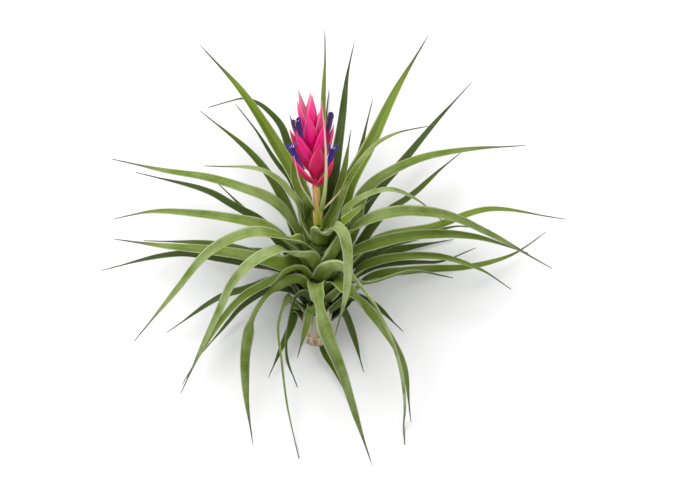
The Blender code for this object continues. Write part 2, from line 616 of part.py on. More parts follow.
def flower_bodies(bract, inset, start, past, open_share):
    """Tube and petals of the flower in one bract's hollow."""
    course, face = bract_courses[bract]
    inner = course + face * inset
    end_way = unit(inner[-1] - inner[-2])
    line = np.concatenate((inner, [inner[-1] + end_way * past]))
    first = int(round(start * (len(inner) - 1)))
    line = smooth_course(line[first:], len(TUBE_SIZES))
    made_bodies = [rod(line, TUBE_SIZES, TUBE_SIDES)]
    mouth = Vector(line[-1])
    tip_dir = Vector(unit(line[-1] - line[-2]))
    side = tip_dir.cross(spike_axis).normalized()
    up = side.cross(tip_dir)
    stretch = 1.0 + CLOSED_STRETCH * (1.0 - open_share)
    for petal in PETAL_TURNS:
        edge_dir = side * math.cos(math.radians(petal)) + up * math.sin(math.radians(petal))
        marks = []
        for rise, reach in zip(PETAL_RISE, PETAL_OUT):
            opened = PETAL_OUT[0] + (reach - PETAL_OUT[0]) * open_share
            marks.append(mouth + tip_dir * (rise * stretch) + edge_dir * opened)
        made_bodies.append(slip(marks, -edge_dir, PETAL_WIDTHS, PETAL_THICK, PETAL_EDGE,
                                PETAL_CURL))
    return made_bodies


# Flowers.
for name, row in FLOWERS.items():
    fuse(name, flower_bodies(*row), PETAL_COLOR)

# Centre the plant over the origin, with its lowest points on Z = 0.
plant = list(home.objects)
spots = np.array([tuple(v.co) for obj in plant for v in obj.data.vertices])
middle = (spots.min(axis=0) + spots.max(axis=0)) / 2
shift = Matrix.Translation((-middle[0], -middle[1], -spots[:, 2].min()))
for obj in plant:
    obj.data.transform(shift)
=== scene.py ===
import json
import math

import bmesh
import bpy
import numpy as np
from mathutils import Matrix, Vector

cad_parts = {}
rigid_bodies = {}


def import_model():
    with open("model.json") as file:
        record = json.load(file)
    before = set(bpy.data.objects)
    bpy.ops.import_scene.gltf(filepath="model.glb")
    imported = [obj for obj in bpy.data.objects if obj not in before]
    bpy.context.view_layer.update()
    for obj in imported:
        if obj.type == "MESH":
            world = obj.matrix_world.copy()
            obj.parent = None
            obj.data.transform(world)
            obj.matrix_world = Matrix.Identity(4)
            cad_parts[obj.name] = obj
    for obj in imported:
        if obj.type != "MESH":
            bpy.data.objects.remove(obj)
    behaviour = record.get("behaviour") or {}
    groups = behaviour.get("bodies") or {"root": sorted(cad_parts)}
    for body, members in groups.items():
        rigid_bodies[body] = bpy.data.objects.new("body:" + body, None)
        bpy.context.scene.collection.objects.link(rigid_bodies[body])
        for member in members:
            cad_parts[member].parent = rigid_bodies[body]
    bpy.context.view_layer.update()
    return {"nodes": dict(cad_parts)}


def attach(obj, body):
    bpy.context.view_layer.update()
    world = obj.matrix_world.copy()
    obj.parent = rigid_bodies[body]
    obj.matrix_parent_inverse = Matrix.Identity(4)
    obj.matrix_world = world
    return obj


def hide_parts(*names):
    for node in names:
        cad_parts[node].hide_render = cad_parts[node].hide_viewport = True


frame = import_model()

# Camera, floor and light.
# The photograph looks straight down, with this plant up and to the right of its middle,
# so the camera stands over the photograph's middle and turns a few degrees to the plant.
AIM = Vector((0.002, 0.001, 0.024))
EYE = Vector((-0.026, -0.064, 0.80))
FRAME_WIDTH = 0.262
SENSOR_WIDTH = 36.0
NEAREST = 0.01
FARTHEST = 20.0
FLOOR_HALF = 3.0
FLOOR_LEVEL = -0.0004
FLOOR_WHITE = (0.93, 0.93, 0.935, 1)
FLOOR_ROUGHNESS = 0.9
STUDIO_WHITE = (1.0, 1.0, 1.0, 1)
STUDIO_STRENGTH = 0.44
LIT_POINT = Vector((0, 0, 0.02))
# Each soft light: name, place, size in metres and power in watts.
LIGHTS = (("key", (-0.55, 0.75, 1.1), 1.2, 23.0), ("fill", (0.8, -0.3, 1.0), 1.4, 6.0))
camera = bpy.data.objects.new("camera", bpy.data.cameras.new("camera"))
bpy.context.scene.collection.objects.link(camera)
camera.location = EYE
sight = (AIM - EYE).normalized()
right = sight.cross(Vector((0, 1, 0))).normalized()
camera.rotation_euler = Matrix((right, right.cross(sight), -sight)).transposed().to_euler()
camera.data.sensor_width = SENSOR_WIDTH
camera.data.lens = SENSOR_WIDTH * (AIM - EYE).length / FRAME_WIDTH
camera.data.clip_start = NEAREST
camera.data.clip_end = FARTHEST
bpy.context.scene.camera = camera

floor_mesh = bpy.data.meshes.new("floor")
floor_corners = [(x * FLOOR_HALF, y * FLOOR_HALF, FLOOR_LEVEL)
                 for x, y in ((-1, -1), (1, -1), (1, 1), (-1, 1))]
floor_mesh.from_pydata(floor_corners, [], [(0, 1, 2, 3)])
floor = bpy.data.objects.new("floor", floor_mesh)
bpy.context.scene.collection.objects.link(floor)
floor_mat = bpy.data.materials.new("floor_white")
floor_mat.use_nodes = True
floor_shader = floor_mat.node_tree.nodes["Principled BSDF"]
floor_shader.inputs["Base Color"].default_value = FLOOR_WHITE
floor_shader.inputs["Roughness"].default_value = FLOOR_ROUGHNESS
floor_mesh.materials.append(floor_mat)

world = bpy.data.worlds.new("studio")
world.use_nodes = True
world.node_tree.nodes["Background"].inputs["Color"].default_value = STUDIO_WHITE
world.node_tree.nodes["Background"].inputs["Strength"].default_value = STUDIO_STRENGTH
bpy.context.scene.world = world
for name, place, size, power in LIGHTS:
    data = bpy.data.lights.new(name, "AREA")
    data.size = size
    data.energy = power
    lamp = bpy.data.objects.new(name, data)
    bpy.context.scene.collection.objects.link(lamp)
    lamp.location = place
    lamp.rotation_euler = (LIT_POINT - Vector(place)).to_track_quat("-Z", "Y").to_euler()
bpy.context.scene.view_settings.view_transform = "Standard"

# Leaves: narrow channelled blades of a living air plant, green inside and silvery with fine
# scales outside, each growing from the stem and drying to a dark point.
# Every blade is rebuilt finer on the course of its own solid.
LEAF_STATIONS = 84
LEAF_SECTION = 9
LEAF_TIP = 0.00018
LEAF_EDGE = 0.00022
LEAF_CORE = 0.00090
LEAF_POINT = 0.0022
LEAF_ROOT = 0.0016
LEAF_WIDEST = (0.14, 0.3)
LEAF_BASE_END = 0.2
LEAF_BASE_SPREAD = 1.12
LEAF_TAPER = ((0, 1), (0.75, 1), (0.96, 0.6), (1, 0.2))
LEAF_RIPPLE = 0.025
LEAF_RIPPLE_WAVES = (14, 26)
LEAF_CURL = 0.19
LEAF_BASE_CURL = 0.16
LEAF_BASE_CURL_RUN = 0.08
LEAF_CURL_SWAY = 0.02
LEAF_CURL_WAVES = 9
LEAF_SEED = 100
ANY_PHASE = (0, 6)
# A leaf's solid: sides of its cap, the cap's largest span, the fewest points of a ring, and the
# width under which, or the turn past which, a ring keeps the direction of the ring before.
SOLID_SIDES = 6
SOLID_CAP_MOST = 0.006
SOLID_LEAST_RING = 4
SOLID_NARROW = 0.0024
SOLID_TURNED = 0.6
SOLID_FACE_RINGS = 9
SOLID_MIDDLE = 0.3
SAME_POINT = 1e-6
SAME_PLANE = 0.002
# A blade's cross-section: how its bow grows to the edges, and how it thins where it narrows.
BOW_POWER = 1.7
BOW_REST = 0.45
THICK_LEAST = 0.45
THICK_WIDTH = 0.0022
BLADE_UV_RUN = 20
STEM_FOOT = Vector((-0.0063, -0.03618, 0.011))
STEM_WAY = Vector((0.0, 0.88295, 0.46947))
SEAT_STATION = 3
# How far up the stem a leaf sits sets the painted shade at its foot: full up to 12 mm, none from 36 mm.
HEART_SHADE_START = 1.5
HEART_SHADE_RUN = 0.024
# How green and how silvery the leaves are: painted shade for the listed leaves that lie in shade, which are
# darker and less silvery, and lit colour for the others.
TONE_SHADE_PAINTED = 0.18
TONE_LIT = 0.78
TONE_CHANCE = 0.16
SILVER_SHADE_PAINTED = 0.10
SILVER_LIT = 0.26
LEAF_SILVER = {
    "leaf_left_bow": 0.75, "leaf_left_arch": 1.0, "leaf_fore_wide": 0.8, "leaf_fore_great": 1.1,
    "leaf_fore_twin": 0.5, "leaf_left_wisp": 0.9, "leaf_left_long": 0.75, "leaf_right_wisp": 0.9,
    "leaf_right_crook": 0.9, "leaf_right_bow": 0.55, "leaf_left_broad": 0.5, "leaf_left_level": 0.5,
    "leaf_heart_curl": 1.3, "leaf_fore_long": 0.55, "leaf_fore_left": 0.45, "leaf_right_long": 0.45,
    "leaf_left_tall": 0.2, "leaf_right_tall": 0.15, "leaf_right_broad": 0.25,
}
LEAF_SHADE_PAINTED = ("leaf_left_hook", "leaf_left_slip", "leaf_left_slant", "leaf_left_shade", "leaf_left_dart",
             "leaf_left_under", "leaf_left_low", "leaf_left_tuck", "leaf_right_slip", "leaf_right_slant",
             "leaf_right_shade", "leaf_right_thin", "leaf_right_under", "leaf_right_stub", "leaf_back_rod",
             "leaf_under_left", "leaf_under_right", "leaf_under_back", "leaf_under_fore", "leaf_under_side",
             "leaf_left_far", "leaf_fore_hook", "leaf_fore_short")
# Leaf colours. A layer is the zone in which it grows to full, its share and its colour.
# The two greens are one leaf colour in painted shade and lit; each leaf's place between them is set by its
# painted shade and a little random tone.
GREEN_SHADE_PAINTED = (0.024, 0.046, 0.002)
GREEN_LIT = (0.150, 0.235, 0.003)
YOUNG_LAYER = ((0.30, 0.02), 0.75, (0.20, 0.29, 0.008))
YOUNG_TONES = (0.3, 0.8)
FIBRE_LAYER = ((0.46, 0.60), 0.62, (0.045, 0.080, 0.003))
# Painted shade: one half of each blade, across its width, darkened as light falls on one side of the
# channel.
HALF_SHADE_LAYER = ((0.0, 0.35), 0.30, (0.030, 0.058, 0.003))
FROST = (0.42, 0.50, 0.24)
FROST_PATCHES = (0.30, 0.62)
FROST_START = (0.0, 0.16)
FROST_INNER_LOSS = 0.30
FROST_SHARE = 0.68
FROST_MOST = 0.85
# Painted shade: the feet of the low leaves darkened, where shade falls deep in the heart of the plant.
HEART_SHADE_LAYER = ((0.16, 0.02), 0.75, (0.012, 0.022, 0.002))
RIM_LAYER = ((0.80, 0.93), 1.0, (0.54, 0.62, 0.34))
RIM_LEAST = 0.30
RIM_BY_TONE = 0.50
DRY_LAYER = ((0.80, 0.95), 0.92, (0.060, 0.050, 0.040))
LEAF_FINISH = {"Roughness": 0.52, "Specular IOR Level": 0.18, "Sheen Weight": 0.05, "Sheen Roughness": 0.45}
LEAF_BUMP = (0.55, 0.00012)
LEAF_DOT_BUMP = 0.35
# Fibre lines across a blade, dots of its scales a metre, and the patches of its bloom.
LEAF_LINES = 34.0
LEAF_DOTS = 2600.0
LINE_RUN = 1.6
LINE_DETAIL = 3.0
PATCH_SCALE = 130.0
PATCH_DETAIL = 4.0


def unit(rows):
    return rows / np.maximum(np.linalg.norm(rows, axis=-1, keepdims=True), 1e-12)


def merged_solid(node):
    bm = bmesh.new()
    bm.from_mesh(frame["nodes"][node].data)
    bmesh.ops.remove_doubles(bm, verts=bm.verts, dist=SAME_POINT)
    return bm


def node_rings(node):
    """Rings of points along a leaf's solid, from its seated end: the steps of a walk from that cap."""
    bm = merged_solid(node)
    bmesh.ops.dissolve_limit(bm, angle_limit=SAME_PLANE, verts=bm.verts, edges=bm.edges)
    caps = [[v.co.copy() for v in f.verts] for f in bm.faces if len(f.verts) == SOLID_SIDES]
    caps = [c for c in caps if max((p - q).length for p in c for q in c) < SOLID_CAP_MOST]
    cap = min(caps, key=lambda c: (c[0] - STEM_FOOT).cross(STEM_WAY).length)
    bm.free()
    bm = merged_solid(node)
    bm.verts.index_update()
    ring = [min(bm.verts, key=lambda v: (v.co - corner).length) for corner in cap]
    seen = set(ring)
    rings = []
    while ring:
        rings.append(np.array([tuple(v.co) for v in ring]))
        ahead = {e.other_vert(v) for v in ring for e in v.link_edges} - seen
        seen |= ahead
        ring = sorted(ahead, key=lambda v: v.index)
    bm.free()
    return rings


def leaf_course(node):
    """Centre, width direction, inner-face direction and width at each ring of a leaf's solid."""
    rings = [r for r in node_rings(node) if len(r) >= SOLID_LEAST_RING]
    centre = np.array([r.mean(0) for r in rings])
    tangent = unit(np.gradient(centre, axis=0))
    wide, size = [], []
    for k, ring in enumerate(rings):
        flat = ring - centre[k]
        flat = flat - (flat @ tangent[k])[:, None] * tangent[k]
        axis = np.linalg.svd(flat)[2][0]
        if wide:
            before = wide[-1] - (wide[-1] @ tangent[k]) * tangent[k]
            if size[-1] < SOLID_NARROW or abs(axis @ unit(before)) < SOLID_TURNED:
                axis = unit(before)
            elif axis @ before < 0:
                axis = -axis
        wide.append(axis)
        size.append(float(np.ptp(flat @ axis)))
    wide = np.array(wide)
    face = unit(np.cross(tangent, wide))
    score = 0.0
    for k in range(1, min(SOLID_FACE_RINGS, len(rings))):
        flat = rings[k] - centre[k]
        side, lift = np.abs(flat @ wide[k]), flat @ face[k]
        outer = side > size[k] * SOLID_MIDDLE
        score += lift[outer].mean() - lift[~outer].mean()
    if score < 0:
        face = -face
    return centre, wide, face, np.array(size)


def smooth_along(rows, count):
    """Evenly spaced values on a smooth curve through the rows."""
    at = np.linspace(0, len(rows) - 1, count)
    low = np.minimum(at.astype(int), len(rows) - 2)
    t = (at - low)[:, None]
    rows = np.asarray(rows, dtype=float).reshape(len(rows), -1)
    slope = np.gradient(rows, axis=0)
    a, b, sa, sb = rows[low], rows[low + 1], slope[low], slope[low + 1]
    return (a * (2 * t ** 3 - 3 * t ** 2 + 1) + sa * (t ** 3 - 2 * t ** 2 + t)
            + b * (3 * t ** 2 - 2 * t ** 3) + sb * (t ** 3 - t ** 2))


def sheet_mesh(name, centre, wide, face, width, core, edge, curl, section, tones):
    """Closed channelled blade along a course, with its own UV map and values along, across and inner."""
    count = len(centre)
    s = np.linspace(-1, 1, section)
    across = np.concatenate((s, s[::-1][1:-1]))
    inner = np.concatenate((np.ones(section), np.zeros(section - 2)))
    ring = len(across)
    half = (edge + (core - edge) * (1 - across ** 2)) / 2
    lift = np.where(inner > 0.5, half, -half)
    points = []
    for k in range(count):
        bow = curl[k] * width[k] * (np.abs(across) ** BOW_POWER - BOW_REST)
        thick = lift * min(1.0, max(THICK_LEAST, width[k] / THICK_WIDTH))
        spread = wide[k] * (across * width[k] / 2)[:, None]
        points.append(centre[k] + spread + face[k] * (bow + thick)[:, None])
    points = np.concatenate(points)
    faces = []
    for k in range(count - 1):
        for m in range(ring):
            n = (m + 1) % ring
            faces.append((k * ring + m, k * ring + n, (k + 1) * ring + n, (k + 1) * ring + m))
    faces.append(tuple(reversed(range(ring))))
    faces.append(tuple((count - 1) * ring + m for m in range(ring)))
    mesh = bpy.data.meshes.new(name)
    mesh.from_pydata(points.tolist(), [], faces)
    along = np.repeat(np.linspace(0, 1, count), ring)
    columns = {"along": along, "across": np.tile(across, count), "inner": np.tile(inner, count)}
    for key, value in tones.items():
        columns[key] = np.full(len(points), value)
    for key, values in columns.items():
        mesh.attributes.new(key, "FLOAT", "POINT").data.foreach_set("value", values.astype(np.float32))
    uv = mesh.uv_layers.new(name="blade")
    step = np.linalg.norm(np.diff(centre, axis=0), axis=1)
    run = np.concatenate(([0.0], np.cumsum(step)))
    span = np.concatenate((np.linspace(0, 0.5, section), np.linspace(0.5, 1, section)[1:-1]))
    corner = np.zeros(len(mesh.loops), dtype=np.int64)
    mesh.loops.foreach_get("vertex_index", corner)
    spots = np.stack((np.tile(span, count)[corner], np.repeat(run * BLADE_UV_RUN, ring)[corner]), axis=1)
    uv.data.foreach_set("uv", spots.astype(np.float32).ravel())
    bm = bmesh.new()
    bm.from_mesh(mesh)
    bmesh.ops.recalc_face_normals(bm, faces=bm.faces)
    bm.to_mesh(mesh)
    bm.free()
    for poly in mesh.polygons:
        poly.use_smooth = True
    obj = bpy.data.objects.new(name, mesh)
    bpy.context.scene.collection.objects.link(obj)
    return obj


def value_node(tree, key):
    node = tree.nodes.new("ShaderNodeAttribute")
    node.attribute_name = key
    return node.outputs["Fac"]


def ramp(tree, value, low, high):
    """Nought to one as a value goes from low to high."""
    node = tree.nodes.new("ShaderNodeMapRange")
    node.clamp = True
    node.inputs["From Min"].default_value = low
    node.inputs["From Max"].default_value = high
    tree.links.new(value, node.inputs["Value"])
    return node.outputs["Result"]


def combine(tree, operation, a, b):
    node = tree.nodes.new("ShaderNodeMath")
    node.operation = operation
    for socket, item in zip(node.inputs, (a, b)):
        if isinstance(item, (int, float)):
            socket.default_value = item
        else:
            tree.links.new(item, socket)
    return node.outputs[0]


def times(tree, a, b):
    return combine(tree, "MULTIPLY", a, b)


def blend_color(tree, share, a, b):
    node = tree.nodes.new("ShaderNodeMix")
    node.data_type = "RGBA"
    for socket, item in ((node.inputs[0], share), (node.inputs[6], a), (node.inputs[7], b)):
        if isinstance(item, tuple):
            socket.default_value = (*item, 1.0)
        elif isinstance(item, (int, float)):
            socket.default_value = item
        else:
            tree.links.new(item, socket)
    return node.outputs[2]


def tint(tree, under, value, layer, mask=None):
    """A layer's colour laid over another, as far as the value is through its zone."""
    zone, share, colour = layer
    amount = ramp(tree, value, *zone)
    if mask is not None:
        amount = times(tree, amount, mask)
    return blend_color(tree, times(tree, amount, share), under, colour)


def finish_skin(tree, shader, colour, finish):
    tree.links.new(colour, shader.inputs["Base Color"])
    for socket, value in finish.items():
        shader.inputs[socket].default_value = value


def add_bump(tree, shader, height, strength, depth):
    node = tree.nodes.new("ShaderNodeBump")
    node.inputs["Strength"].default_value = strength
    node.inputs["Distance"].default_value = depth
    tree.links.new(height, node.inputs["Height"])
    tree.links.new(node.outputs["Normal"], shader.inputs["Normal"])


# Shared effect: fine lines along a blade, the small dots of its scales and the patches of its bloom.
fibre = bpy.data.node_groups.new("fibre_and_scale", "ShaderNodeTree")
for key, value in (("Lines", LEAF_LINES), ("Dots", LEAF_DOTS)):
    fibre.interface.new_socket(key, in_out="INPUT", socket_type="NodeSocketFloat").default_value = value
for key in ("Line value", "Dot value", "Patch value"):
    fibre.interface.new_socket(key, in_out="OUTPUT", socket_type="NodeSocketFloat")
fibre_in = fibre.nodes.new("NodeGroupInput")
fibre_out = fibre.nodes.new("NodeGroupOutput")
uv_node = fibre.nodes.new("ShaderNodeUVMap")
uv_node.uv_map = "blade"
split = fibre.nodes.new("ShaderNodeSeparateXYZ")
fibre.links.new(uv_node.outputs["UV"], split.inputs[0])
lines_at = fibre.nodes.new("ShaderNodeCombineXYZ")
fibre.links.new(times(fibre, split.outputs[0], fibre_in.outputs["Lines"]), lines_at.inputs[0])
fibre.links.new(times(fibre, split.outputs[1], LINE_RUN), lines_at.inputs[1])
lines = fibre.nodes.new("ShaderNodeTexNoise")
lines.inputs["Scale"].default_value = 1.0
lines.inputs["Detail"].default_value = LINE_DETAIL
fibre.links.new(lines_at.outputs[0], lines.inputs["Vector"])
place = fibre.nodes.new("ShaderNodeTexCoord")
dots = fibre.nodes.new("ShaderNodeTexVoronoi")
fibre.links.new(place.outputs["Object"], dots.inputs["Vector"])
fibre.links.new(fibre_in.outputs["Dots"], dots.inputs["Scale"])
patch = fibre.nodes.new("ShaderNodeTexNoise")
patch.inputs["Scale"].default_value = PATCH_SCALE
patch.inputs["Detail"].default_value = PATCH_DETAIL
fibre.links.new(place.outputs["Object"], patch.inputs["Vector"])
fibre.links.new(lines.outputs["Fac"], fibre_out.inputs["Line value"])
fibre.links.new(dots.outputs["Distance"], fibre_out.inputs["Dot value"])
fibre.links.new(patch.outputs["Fac"], fibre_out.inputs["Patch value"])


def blade_material(name, lines_per_blade, dots_scale):
    """Principled material with the shared fibre group placed in it; returns its parts."""
    mat = bpy.data.materials.new(name)
    mat.use_nodes = True
    tree = mat.node_tree
    group = tree.nodes.new("ShaderNodeGroup")
    group.node_tree = fibre
    group.inputs["Lines"].default_value = lines_per_blade
    group.inputs["Dots"].default_value = dots_scale
    return mat, tree, tree.nodes["Principled BSDF"], group


leaf_mat, tree, shader, group = blade_material("leaf_blade", LEAF_LINES, LEAF_DOTS)
along = value_node(tree, "along")
side = value_node(tree, "across")
from_rib = combine(tree, "ABSOLUTE", side, 0.0)
tone = value_node(tree, "tone")
line_value = group.outputs["Line value"]
# Painted shade: leaves run from the shaded green to the lit green by their painted light and random tone.
green = blend_color(tree, tone, GREEN_SHADE_PAINTED, GREEN_LIT)
# The young green shows on the lit leaves and not under the painted shade.
green = tint(tree, green, along, YOUNG_LAYER, ramp(tree, tone, *YOUNG_TONES))
green = tint(tree, green, line_value, FIBRE_LAYER)
# Painted shade on one half of each blade.
green = tint(tree, green, side, HALF_SHADE_LAYER)
inner_loss = times(tree, value_node(tree, "inner"), FROST_INNER_LOSS)
frost = times(tree, value_node(tree, "silver"), ramp(tree, group.outputs["Patch value"], *FROST_PATCHES))
frost = times(tree, frost, combine(tree, "SUBTRACT", 1.0, inner_loss))
frost = times(tree, frost, ramp(tree, along, *FROST_START))
frost = combine(tree, "MINIMUM", times(tree, frost, FROST_SHARE), FROST_MOST)
skin = blend_color(tree, frost, green, FROST)
# Painted shade at the feet of the low leaves, kept as their depth value.
skin = tint(tree, skin, along, HEART_SHADE_LAYER, value_node(tree, "depth"))
# The pale margins show more on lit leaves than on those with painted shade.
rim_share = combine(tree, "ADD", RIM_LEAST, times(tree, tone, RIM_BY_TONE))
skin = tint(tree, skin, from_rib, RIM_LAYER, rim_share)
skin = tint(tree, skin, along, DRY_LAYER)
finish_skin(tree, shader, skin, LEAF_FINISH)
grain = combine(tree, "ADD", line_value, times(tree, group.outputs["Dot value"], LEAF_DOT_BUMP))
add_bump(tree, shader, grain, *LEAF_BUMP)

leaf_names = sorted(name for name in frame["nodes"] if name.startswith("leaf_"))
for number, node in enumerate(leaf_names):
    chance = np.random.default_rng(LEAF_SEED + number)
    centre, wide, face, size = leaf_course(node)
    root = centre[0] + unit(centre[0] - centre[1]) * LEAF_ROOT
    point = centre[-1] + unit(centre[-1] - centre[-2]) * LEAF_POINT
    centre = smooth_along(np.concatenate(([root], centre[1:-1], [point])), LEAF_STATIONS)
    wide = unit(smooth_along(wide, LEAF_STATIONS))
    face = unit(smooth_along(face, LEAF_STATIONS))
    full = smooth_along(size, LEAF_STATIONS)[:, 0]
    share = np.linspace(0, 1, LEAF_STATIONS)
    widest = full[(share > LEAF_WIDEST[0]) & (share < LEAF_WIDEST[1])].max()
    base = widest * (1.0 + (LEAF_BASE_SPREAD - 1) * (1 - share / LEAF_BASE_END))
    full = np.where(share < LEAF_BASE_END, np.maximum(full, base), full)
    full = np.maximum(full * np.interp(share, *zip(*LEAF_TAPER)), LEAF_TIP)
    waves, phase = chance.uniform(*LEAF_RIPPLE_WAVES), chance.uniform(*ANY_PHASE)
    full = full * (1 + LEAF_RIPPLE * np.sin(share * waves + phase))
    sway = LEAF_CURL_SWAY * np.sin(share * LEAF_CURL_WAVES + chance.uniform(*ANY_PHASE))
    curl = LEAF_CURL + LEAF_BASE_CURL * np.exp(-share / LEAF_BASE_CURL_RUN) + sway
    # Leaves on the list lie in shade and are painted darker and less silvery.
    shade_painted = node in LEAF_SHADE_PAINTED
    # A leaf's height on the stem sets the painted shade at its foot.
    up_stem = (Vector(centre[SEAT_STATION]) - STEM_FOOT).dot(STEM_WAY)
    tones = {"tone": (TONE_SHADE_PAINTED if shade_painted else TONE_LIT) + chance.uniform(-TONE_CHANCE, TONE_CHANCE),
             "silver": LEAF_SILVER.get(node, SILVER_SHADE_PAINTED if shade_painted else SILVER_LIT),
             "depth": min(1.0, max(0.0, HEART_SHADE_START - up_stem / HEART_SHADE_RUN))}
    piece = sheet_mesh("blade_" + node[5:], centre, wide, face, full, LEAF_CORE, LEAF_EDGE, curl,
                       LEAF_SECTION, tones)
    piece.data.materials.append(leaf_mat)
    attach(piece, "root")
    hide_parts(node)

# Leaf scales: the tiny shield-shaped scales that give the arched leaves their silver bloom,
# one flat cone each, grown out of the skin and scattered over the outer and inner faces.
SCALE_RADIUS = 0.00010
SCALE_HEIGHT = 0.00004
SCALE_SIDES = 5
SCALE_GROWTH = (0.55, 1.15)
SCALE_SEED = 4
SCALES_PER_M2 = 2200000.0
SCALE_SILVER = (0.36, 0.43, 0.22, 1)
SCALE_ROUGHNESS = 0.6
silver_mat = bpy.data.materials.new("leaf_scale")
silver_mat.use_nodes = True
shader = silver_mat.node_tree.nodes["Principled BSDF"]
shader.inputs["Base Color"].default_value = SCALE_SILVER
shader.inputs["Roughness"].default_value = SCALE_ROUGHNESS
scale_tree = bpy.data.node_groups.new("scattered_scales", "GeometryNodeTree")
scale_tree.interface.new_socket("Geometry", in_out="INPUT", socket_type="NodeSocketGeometry")
scale_inputs = {}
for key, kind, value in (("Density", "NodeSocketFloat", SCALES_PER_M2),
                         ("Radius", "NodeSocketFloat", SCALE_RADIUS),
                         ("Height", "NodeSocketFloat", SCALE_HEIGHT),
                         ("Seed", "NodeSocketInt", SCALE_SEED),
                         ("Material", "NodeSocketMaterial", silver_mat)):
    socket = scale_tree.interface.new_socket(key, in_out="INPUT", socket_type=kind)
    scale_inputs[socket.identifier] = value
scale_tree.interface.new_socket("Geometry", in_out="OUTPUT", socket_type="NodeSocketGeometry")
entry = scale_tree.nodes.new("NodeGroupInput")
leave = scale_tree.nodes.new("NodeGroupOutput")
silver_field = scale_tree.nodes.new("GeometryNodeInputNamedAttribute")
silver_field.data_type = "FLOAT"
silver_field.inputs["Name"].default_value = "silver"
spots = scale_tree.nodes.new("GeometryNodeDistributePointsOnFaces")
scale_tree.links.new(entry.outputs["Geometry"], spots.inputs["Mesh"])
density = times(scale_tree, silver_field.outputs[0], silver_field.outputs[0])
scale_tree.links.new(times(scale_tree, density, entry.outputs["Density"]), spots.inputs["Density"])
scale_tree.links.new(entry.outputs["Seed"], spots.inputs["Seed"])
shield = scale_tree.nodes.new("GeometryNodeMeshCone")
shield.inputs["Vertices"].default_value = SCALE_SIDES
scale_tree.links.new(entry.outputs["Radius"], shield.inputs["Radius Bottom"])
scale_tree.links.new(entry.outputs["Height"], shield.inputs["Depth"])
grow = scale_tree.nodes.new("FunctionNodeRandomValue")
grow.inputs[2].default_value = SCALE_GROWTH[0]
grow.inputs[3].default_value = SCALE_GROWTH[1]
scale_tree.links.new(entry.outputs["Seed"], grow.inputs["Seed"])
placed = scale_tree.nodes.new("GeometryNodeInstanceOnPoints")
scale_tree.links.new(spots.outputs["Points"], placed.inputs["Points"])
scale_tree.links.new(shield.outputs["Mesh"], placed.inputs["Instance"])
scale_tree.links.new(spots.outputs["Rotation"], placed.inputs["Rotation"])
scale_tree.links.new(grow.outputs[1], placed.inputs["Scale"])
solid = scale_tree.nodes.new("GeometryNodeRealizeInstances")
scale_tree.links.new(placed.outputs["Instances"], solid.inputs[0])
coated = scale_tree.nodes.new("GeometryNodeSetMaterial")
scale_tree.links.new(solid.outputs[0], coated.inputs["Geometry"])
scale_tree.links.new(entry.outputs["Material"], coated.inputs["Material"])
scale_tree.links.new(coated.outputs[0], leave.inputs[0])
skins = [piece for piece in bpy.data.objects if piece.name.startswith("blade_")]
joined_skins = bmesh.new()
for piece in sorted(skins, key=lambda item: item.name):
    joined_skins.from_mesh(piece.data)
skin_mesh = bpy.data.meshes.new("leaf_skins")
joined_skins.to_mesh(skin_mesh)
joined_skins.free()
holder = bpy.data.objects.new("leaf_scales", skin_mesh)
bpy.context.scene.collection.objects.link(holder)
scatter = holder.modifiers.new("scatter", "NODES")
scatter.node_group = scale_tree
for identifier, value in scale_inputs.items():
    scatter[identifier] = value
bpy.context.view_layer.update()
grown = bpy.data.meshes.new_from_object(holder.evaluated_get(bpy.context.evaluated_depsgraph_get()))
holder.modifiers.clear()
holder.data = grown
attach(holder, "root")

# Stem: the short woody stem that all leaves grow from, brown at its trimmed foot and green
# above, that green darkened as painted shade of the heart, ringed by the scars of old leaves. It is rebuilt
# finer round its own solid.
MM = 0.001
STEM_TOP = 0.048
# Share of the stem's length and radius in millimetres.
STEM_STOPS = ((0.0, 2.6), (0.02, 3.3), (0.06, 3.9), (0.2, 4.4), (0.65, 4.6), (0.88, 3.7), (1.0, 2.2))
STEM_RINGS = 60
STEM_SIDES = 40
SCAR_LIFT = 0.00035
SCAR_RINGS = 26
SCAR_TURNS = 2.5
SCAR_POWER = 0.6
KNURL_SHARE = 0.3
KNURL_TURNS = 9
KNURL_RINGS = 40
BARK_BROWN = (0.46, 0.27, 0.12)
BARK_OLIVE = (0.20, 0.25, 0.07)
BARK_OLIVE_ZONE = (0.10, 0.26)
# The stem's own green above, made darker as painted shade in the heart of the plant.
BARK_GREEN_AND_SHADE_LAYER = ((0.35, 0.7), 1.0, (0.060, 0.105, 0.006))
BARK_GRAIN_LAYER = ((0.45, 0.75), 0.6, (0.07, 0.07, 0.02))
GRAIN_SCALE = 420.0
GRAIN_DETAIL = 6.0
STEM_FINISH = {"Roughness": 0.75}
STEM_BUMP = (0.6, 0.0003)
side_way = Vector((1, 0, 0))
front_way = STEM_WAY.cross(-side_way)


def round_stem(turn):
    """Direction out of the stem, turned from its right side towards its front, in radians."""
    return side_way * math.cos(turn) + front_way * math.sin(turn)


